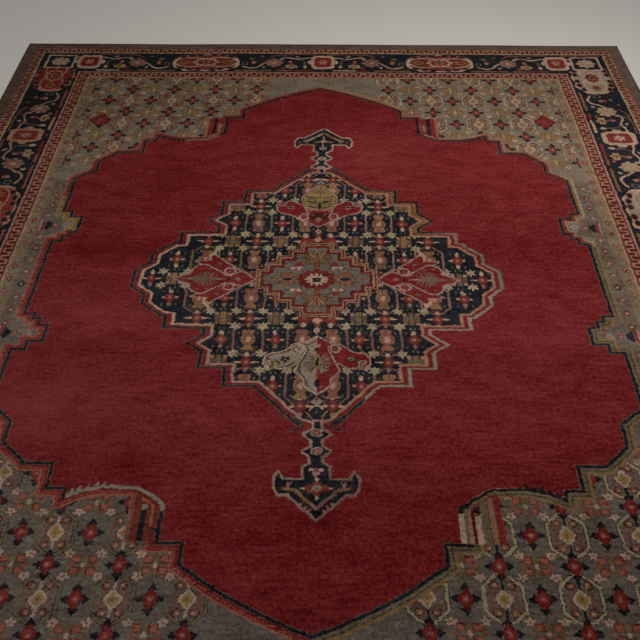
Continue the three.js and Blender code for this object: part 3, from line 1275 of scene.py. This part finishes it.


def knot_colour(made, knots):
    """The dye of each knot, unpacked from the numbers that its face carries."""
    knot = value(made, "ShaderNodeVectorMath", {0: knots}, operation="FLOOR")
    cell = {1: (CELL_KNOTS,) * 3}
    in_cell = value(made, "ShaderNodeVectorMath", {0: knot}, cell, operation="MODULO")
    parts = node(made, "ShaderNodeSeparateXYZ", {0: in_cell}).outputs
    chosen = [sum_of(made, "COMPARE", parts["Y"], row, 0.5) for row in range(CELL_KNOTS)]
    mask = value(made, "ShaderNodeCombineXYZ", dict(enumerate(chosen[:3])))
    packed = node(made, "ShaderNodeAttribute", attribute_name="dyes").outputs
    links = {0: packed["Vector"], 1: mask}
    first_rows = node(made, "ShaderNodeVectorMath", links, operation="DOT_PRODUCT").outputs["Value"]
    number = sum_of(made, "MULTIPLY_ADD", packed["Alpha"], chosen[3], first_rows)
    power = sum_of(made, "POWER", DYE_BASE, sum_of(made, "ROUND", parts["X"]))
    digits = sum_of(made, "FLOOR", sum_of(made, "DIVIDE", number, power))
    dye = sum_of(made, "MODULO", digits, DYE_BASE)
    share = sum_of(made, "DIVIDE", sum_of(made, "ADD", dye, 0.5), DYE_BASE)
    dyes = node(made, "ShaderNodeValToRGB", {0: share})
    stops = dyes.color_ramp.elements
    dyes.color_ramp.interpolation = "CONSTANT"
    stops.remove(stops[1])
    for i, colour in enumerate(DYES.values()):
        stop = stops[0] if i == 0 else stops.new(i / DYE_BASE)
        stop.color = [part * WOOL_GAIN for part in linear(colour)[:3]] + [1]
    return knot, dyes.outputs["Color"]


def clipped_wool(name):
    """Worn wool pile: tufts in clumps and rows that catch the light, dye lots that change along the
    rug, painted light that falls off across it, and a pale haze of painted sheen wherever the wool
    is lighter."""
    made = material(name)
    knots = value(made, "ShaderNodeUVMap", uv_map="knots")
    knot, colour = knot_colour(made, knots)

    tuft = value(made, "ShaderNodeTexWhiteNoise", {"Vector": knot})
    clumps = noise(made, knots, (0.22, 0.2, 1.0), Detail=3.0, Roughness=0.6)
    rows = noise(made, knots, (0.045, 0.22, 1.0))
    worn = noise(made, knots, (0.022, 0.04, 1.0), Detail=3.0)
    # dye lots, worn patches and painted light across the rug, as the panels carry them
    fade_and_light = node(made, "ShaderNodeAttribute", attribute_name="fade_and_light").outputs["Fac"]
    change = fade_and_light
    for layer, weight in ((tuft, 0.3), (clumps, 1.05), (rows, 0.6), (worn, 0.6)):
        layer = sum_of(made, "SUBTRACT", layer, 0.5)
        change = sum_of(made, "MULTIPLY_ADD", layer, weight, change)
    tone = sum_of(made, "ADD", change, 1.0)
    toned = value(made, "ShaderNodeVectorMath", {0: colour, "Scale": tone}, operation="SCALE")
    # painted sheen: a pale haze added in step with how much lighter the wool is
    painted_sheen = sum_of(made, "MULTIPLY", change, PAINTED_SHEEN_SHARE)
    toned = value(made, "ShaderNodeVectorMath", {0: toned, 1: painted_sheen}, operation="ADD")
    least = {1: (0.004,) * 3}
    toned = value(made, "ShaderNodeVectorMath", {0: toned}, least, operation="MAXIMUM")

    in_knot = value(made, "ShaderNodeVectorMath", {0: knots}, operation="FRACTION")
    middle = {1: (0.5, 0.5, 0)}
    from_middle = value(made, "ShaderNodeVectorMath", {0: in_knot}, middle, operation="SUBTRACT")
    length = node(made, "ShaderNodeVectorMath", {0: from_middle}, operation="LENGTH")
    away = length.outputs["Value"]
    lift = sum_of(made, "MULTIPLY_ADD", away, -0.8, sum_of(made, "MULTIPLY", tuft, 0.6))
    lift = sum_of(made, "ADD", lift, rows)
    nap = value(made, "ShaderNodeBump", {"Height": lift}, {"Strength": 0.5, "Distance": 0.0008})
    gloss = {"Roughness": 0.9, "Specular IOR Level": 0.02}
    sheen = {"Sheen Weight": 0.02, "Sheen Roughness": 0.6}
    return surface(made, {"Base Color": toned, "Normal": nap}, {**gloss, **sheen})


def plain_weave(name, colour, dark, thread):
    """Spun threads side by side, a little uneven in colour, with fine ribs; thread is in mm."""
    made = material(name)
    place = node(made, "ShaderNodeTexCoord").outputs["Object"]
    rough = noise(made, place, (400 / thread,) * 3)
    dyes = {6: linear(dark), 7: linear(colour)}
    shade = node(made, "ShaderNodeMix", {0: rough}, dyes, data_type="RGBA").outputs[2]
    scale = {1: (310 / thread,) * 3}
    threads = value(made, "ShaderNodeVectorMath", {0: place}, scale, operation="MULTIPLY")
    ribs = node(made, "ShaderNodeTexWave", {"Vector": threads}).outputs["Fac"]
    lumps = value(made, "ShaderNodeBump", {"Height": ribs}, {"Strength": 0.4, "Distance": 0.0004})
    gloss = {"Roughness": 0.9, "Specular IOR Level": 0.2}
    return surface(made, {"Base Color": shade, "Normal": lumps}, gloss)


pile_wool = clipped_wool("clipped_wool_pile")
cotton_back = plain_weave("cotton_warp_and_weft", "a99679", "6d3b33", 2.5)
edge_wool = plain_weave("overcast_goat_wool", "4a2f27", "2e1d18", 2.0)

# Modelling


def slab(columns, rows):
    """A closed slab: a grid on top with one step for each unit, walls, and a plain underside."""
    shape = bmesh.new()
    bmesh.ops.create_grid(shape, x_segments=columns, y_segments=rows, size=0.5)
    bmesh.ops.translate(shape, verts=shape.verts, vec=(0.5, 0.5, 0))
    bmesh.ops.scale(shape, verts=shape.verts, vec=(columns, rows, 1))
    rim = [edge for edge in shape.edges if edge.is_boundary]
    walls = bmesh.ops.extrude_edge_only(shape, edges=rim)["geom"]
    foot = [item for item in walls if isinstance(item, bmesh.types.BMVert)]
    bmesh.ops.translate(shape, verts=foot, vec=(0, 0, -1))
    lowest = set(foot)
    foot_edges = [edge for edge in shape.edges if set(edge.verts) <= lowest]
    bmesh.ops.contextual_create(shape, geom=foot_edges)
    bmesh.ops.recalc_face_normals(shape, faces=shape.faces)
    return shape


def piece_from(shape, name, finish):
    """Turns a shape into a piece of the rug that lies with the cloth."""
    mesh = bpy.data.meshes.new(name)
    shape.to_mesh(mesh)
    shape.free()
    mesh.materials.append(finish)
    piece = bpy.data.objects.new(name, mesh)
    bpy.context.scene.collection.objects.link(piece)
    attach(piece, "root")
    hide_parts("carpet")
    return piece


def read(items, key, width=1, kind=np.float32):
    """A value or more for each vertex, face or corner, as rows of an array."""
    values = np.empty(len(items) * width, kind)
    items.foreach_get(key, values)
    return values.reshape(-1, width) if width > 1 else values


def set_points(mesh, points):
    mesh.vertices.foreach_set("co", points.ravel())
    mesh.update()


def crisp_rim(mesh, top):
    """Smooth shading on top, with a hard edge to the walls."""
    mesh.polygons.foreach_set("use_smooth", top)
    on_top = top.repeat(read(mesh.polygons, "loop_total", kind=np.int32))
    edges = read(mesh.loops, "edge_index", kind=np.int32)
    sides_on_top = np.bincount(edges[on_top], minlength=len(mesh.edges))
    sharp = mesh.attributes.new("sharp_edge", "BOOLEAN", "EDGE")
    sharp.data.foreach_set("value", sides_on_top == 1)


# The lie of the pile: low swells of the cloth, and tufts that stand a little apart

SWELLS = (
    # mm from crest to crest across and along, start, mm high
    (900, 2600, 0.7, 0.45),
    (-1500, 620, 2.1, 0.35),
    (410, 980, 4.0, 0.25),
    (-350, 270, 1.3, 0.18),
    (2300, 190, 5.2, 0.16),
)
TUFT_HEIGHT = 0.12
TUFT_SHIFT = 0.6

tuft_shift = by_hand.normal(0, 1, (CELLS_ALONG + 1, CELLS_ACROSS + 1, 3))
tuft_shift = np.clip(tuft_shift, -2, 2) * (TUFT_SHIFT, TUFT_SHIFT, TUFT_HEIGHT)
tuft_shift[[0, -1], :, :2] = 0
tuft_shift[:, [0, -1], :2] = 0


def swell(x, y):
    height = 0
    for across, along, start, high in SWELLS:
        height = height + high * np.sin(2 * pi * (x / across + y / along) + start)
    return height


ABRASH = {
    # mm along the rug: how much lighter its dye lot is there
    -1100: -0.04, -900: -0.02, -700: 0.06, -400: -0.03, -300: 0.08, -200: 0.02, 0: 0,
    150: -0.1, 300: -0.03, 500: -0.02, 650: 0.03, 950: 0.08, 1300: 0,
}
WORN_PATCHES = (
    # middle, reach across and along, and how much lighter it is
    (-850, -650, 130, 110, 0.2),
    (-750, -200, 170, 70, 0.13),
    (225, 850, 130, 200, 0.15),
    (-575, 650, 150, 200, -0.1),
    (-800, 150, 220, 60, -0.12),
    (750, 200, 170, 60, -0.1),
    (-550, -900, 180, 60, -0.1),
    (-50, -1110, 150, 60, -0.1),
    (800, -350, 230, 200, 0.06),
)


def faded_and_lit(x, y):
    """How much lighter the wool is than its dye: painted light that falls off across the rug, the
    dye lots, and worn patches.
    """
    across = np.clip(x / 1000, -1.1, 1.1)
    along = np.clip(y / 1000, -1.2, 1.2)
    # painted light: a smooth fall of light and shade over the rug, darkest towards the far left
    painted_light = 0.1 * across * along - 0.09 * along**2 - 0.06 * along
    fade_and_light = painted_light + np.interp(y + 0.02 * x, list(ABRASH), list(ABRASH.values()))
    for middle_x, middle_y, across, along, change in WORN_PATCHES:
        away = ((x - middle_x) / across) ** 2 + ((y - middle_y) / along) ** 2
        fade_and_light = fade_and_light + change * np.exp(-away)
    return fade_and_light


def pile_panel(name, low, high, folds):
    """A panel of pile between two corners, which are counted in cells from the near left."""
    steps = np.subtract(high, low)
    panel = piece_from(slab(*(int(step) for step in steps)), name, pile_wool)
    mesh = panel.data
    grid = read(mesh.vertices, "co", 3)
    cell = np.rint(grid[:, :2]).astype(int) + low
    shift = tuft_shift[cell[:, 1], cell[:, 0]]
    x, y = (cell * CELL - (PILE_WIDTH / 2, PILE_LENGTH / 2)).T
    top = PILE_TOP + swell(x, y) + shift[:, 2]
    z = np.where(grid[:, 2] > -0.5, top, PILE_FOOT)
    set_points(mesh, placed(x + shift[:, 0], y + shift[:, 1], z))

    corner = read(mesh.loops, "vertex_index", kind=np.int32)
    sizes = read(mesh.polygons, "loop_total", kind=np.int32)
    starts = np.concatenate([[0], np.cumsum(sizes)[:-1]])
    middle = np.add.reduceat(grid[corner], starts) / sizes[:, None]
    crisp_rim(mesh, middle[:, 2] > -0.25)
    # how much lighter each point is: dye lots and worn patches, with painted light across the rug
    fade_and_light = mesh.attributes.new("fade_and_light", "FLOAT", "POINT")
    fade_and_light.data.foreach_set("value", faded_and_lit(x, y).astype(np.float32))
    lay_knots(mesh, cell[corner], np.floor(middle[:, :2] - 0.01).astype(int) + low)
    lay_bake_map(mesh, grid[corner], middle.repeat(sizes, 0), steps, folds)
    return panel


def lay_knots(mesh, corner_cells, face_cells):
    """Numbers the knots in a map, and gives each face the dyes of its sixteen knots."""
    knot_map = mesh.uv_layers.new(name="knots")
    knot_map.uv.foreach_set("vector", (corner_cells * CELL_KNOTS).astype(np.float32).ravel())
    column, row = np.clip(face_cells, 0, (CELLS_ACROSS - 1, CELLS_ALONG - 1)).T
    packed = mesh.attributes.new("dyes", "FLOAT_COLOR", "FACE")
    packed.data.foreach_set("color", packed_dyes[row, column].ravel())


def lay_bake_map(mesh, corners, middles, steps, folds):
    """A second map, which lays the top in folds side by side, with the walls above them and the
    underside below them in thin strips."""
    share_x, share_y = (corners[:, :2] / steps).T
    fold = np.clip(np.floor(middles[:, 1] / steps[1] * folds), 0, folds - 1)
    across = (fold + 0.01 + 0.98 * share_x) / folds
    up = 0.03 + 0.94 * (share_y * folds - fold)
    under = middles[:, 2] < -0.75
    wall = (middles[:, 2] < -0.25) & ~under
    across[under] = share_x[under]
    up[under] = 0.01 * share_y[under]
    up[wall] = 0.99 + 0.009 * corners[wall, 2]
    bake_map = mesh.uv_layers.new(name="OFBake")
    bake_map.uv.foreach_set("vector", np.stack([across, up], 1).astype(np.float32).ravel())


def pack(dye):
    """Four numbers for each cell, one for each row of four knots in it."""
    knots = dye.reshape(CELLS_ALONG, CELL_KNOTS, CELLS_ACROSS, CELL_KNOTS).swapaxes(1, 2)
    knots = knots.astype(np.int64)
    return (knots * DYE_BASE ** np.arange(CELL_KNOTS)).sum(3).astype(np.float32)


packed_dyes = pack(finished())

# Pieces

BORDER_CELLS = 37  # the depth of the borders' panels
HALF = CELLS_ACROSS // 2
FAR_SIDE = CELLS_ACROSS - BORDER_CELLS
FAR_END = CELLS_ALONG - BORDER_CELLS
PANELS = {
    # the corners in cells, and how many lengths the bake map is laid in
    "field_pile_left": ((BORDER_CELLS, BORDER_CELLS), (HALF, FAR_END), 2),
    "field_pile_right": ((HALF, BORDER_CELLS), (FAR_SIDE, FAR_END), 2),
    "border_pile_left": ((0, 0), (BORDER_CELLS, CELLS_ALONG), 3),
    "border_pile_right": ((FAR_SIDE, 0), (CELLS_ACROSS, CELLS_ALONG), 3),
    "border_pile_near": ((BORDER_CELLS, 0), (FAR_SIDE, BORDER_CELLS), 1),
    "border_pile_far": ((BORDER_CELLS, FAR_END), (FAR_SIDE, CELLS_ALONG), 1),
}
panels = [pile_panel(name, *plan) for name, plan in PANELS.items()]


def foundation():
    """The cotton warps and wefts that the knots are tied on: a thin slab under all the pile."""
    columns, rows = 60, 78
    cloth = piece_from(slab(columns, rows), "warp_and_weft", cotton_back)
    grid = read(cloth.data.vertices, "co", 3)
    x, y = ((grid[:, :2] / (columns, rows) - 0.5) * (PILE_WIDTH, PILE_LENGTH)).T
    set_points(cloth.data, placed(x, y, np.where(grid[:, 2] > -0.5, CLOTH_TOP, 0)))
    return cloth


def flat_weave(name, end):
    """The strip of plain weave that holds the last knots at an end, with its warps as ribs."""
    columns, rows = 596, 8
    strip = piece_from(slab(columns, rows), name, edge_wool)
    grid = read(strip.data.vertices, "co", 3)
    x = (grid[:, 0] / columns - 0.5) * PILE_WIDTH
    y = (PILE_LENGTH / 2 + grid[:, 1] / rows * FLATWEAVE_LENGTH) * end
    over = np.where((grid[:, 0] + grid[:, 1]) % 2 < 0.5, RIB, -RIB)
    z = np.where(grid[:, 2] > -0.5, CLOTH_TOP - RIB + over, 0)
    set_points(strip.data, placed(x, y, z))
    if end < 0:
        strip.data.flip_normals()
    return strip


def side_cord(name, side):
    """Warps at the edge, wrapped round with wool, so that each turn stands out as a ring."""
    length = PILE_LENGTH + 2 * FLATWEAVE_LENGTH
    turns = int(length / WRAP)
    shape = bmesh.new()
    bmesh.ops.create_cone(shape, cap_ends=True, segments=8, radius1=1, radius2=1, depth=2 * turns)
    long_edges = [edge for edge in shape.edges if edge.calc_length() > turns]
    bmesh.ops.subdivide_edges(shape, edges=long_edges, cuts=2 * turns - 1)
    cord = piece_from(shape, name, edge_wool)
    grid = read(cord.data.vertices, "co", 3)
    turn = grid[:, 2] + turns
    full = np.where(np.rint(turn) % 2 == 1, 1, BETWEEN_TURNS)
    full[(turn < 0.5) | (turn > 2 * turns - 0.5)] = AT_ENDS
    x = side * (PILE_WIDTH / 2 + CORD_WIDTH / 2 + grid[:, 0] * full * CORD_WIDTH / 2)
    slant = 0.5 * grid[:, 0]
    y = ((turn + slant).clip(0, 2 * turns) / (2 * turns) - 0.5) * length
    z = CORD_HEIGHT / 2 * (1 + grid[:, 1] * full)
    set_points(cord.data, placed(x, y, z))
    cord.data.polygons.foreach_set("use_smooth", np.ones(len(cord.data.polygons), bool))
    return cord


cloth = foundation()
panels.append(flat_weave("flat_weave_near", -1))
panels.append(flat_weave("flat_weave_far", 1))
panels.append(side_cord("side_cord_left", -1))
panels.append(side_cord("side_cord_right", 1))

# Floor and light

FLOOR_SIZE = 30  # m
FLOOR_DROP = 0.0005  # keeps the floor clear of the rug's underside
floor_mesh = bpy.data.meshes.new("pale_floor")
shape = bmesh.new()
bmesh.ops.create_grid(shape, x_segments=1, y_segments=1, size=FLOOR_SIZE / 2)
bmesh.ops.translate(shape, verts=shape.verts, vec=(0, 0, -FLOOR_DROP))
shape.to_mesh(floor_mesh)
shape.free()
floor = bpy.data.objects.new("pale_floor", floor_mesh)
bpy.context.scene.collection.objects.link(floor)
floor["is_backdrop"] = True
pale_paint = {"Base Color": linear("d8d4cd"), "Roughness": 0.7}
floor_mesh.materials.append(surface(material("pale_floor_paint"), {}, pale_paint))


def lamp(name, place, aim, size, watts, colour):
    """A large soft light that points at a place."""
    data = bpy.data.lights.new(name, "AREA")
    data.size = size
    data.energy = watts
    data.color = linear(colour)[:3]
    made = bpy.data.objects.new(name, data)
    made.location = place
    direction = Vector(place) - Vector(aim)
    made.rotation_euler = direction.to_track_quat("Z", "Y").to_euler()
    bpy.context.scene.collection.objects.link(made)


lamp("window_light", (1.1, 0.7, 2.5), (-0.6, 1.0, 0), 1.4, 42, "fff6ec")

world = bpy.data.worlds.new("soft_room")
bpy.context.scene.world = world
world.use_nodes = True
sky = world.node_tree.nodes["Background"]
sky.inputs["Color"].default_value = (0.94, 0.97, 1, 1)
sky.inputs["Strength"].default_value = 0.3
bpy.context.scene.view_settings.view_transform = "Standard"

visual_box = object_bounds()
sizes = {"cad": cad_box, "visual": visual_box}
{name: [list(corner) for corner in box] for name, box in sizes.items()}
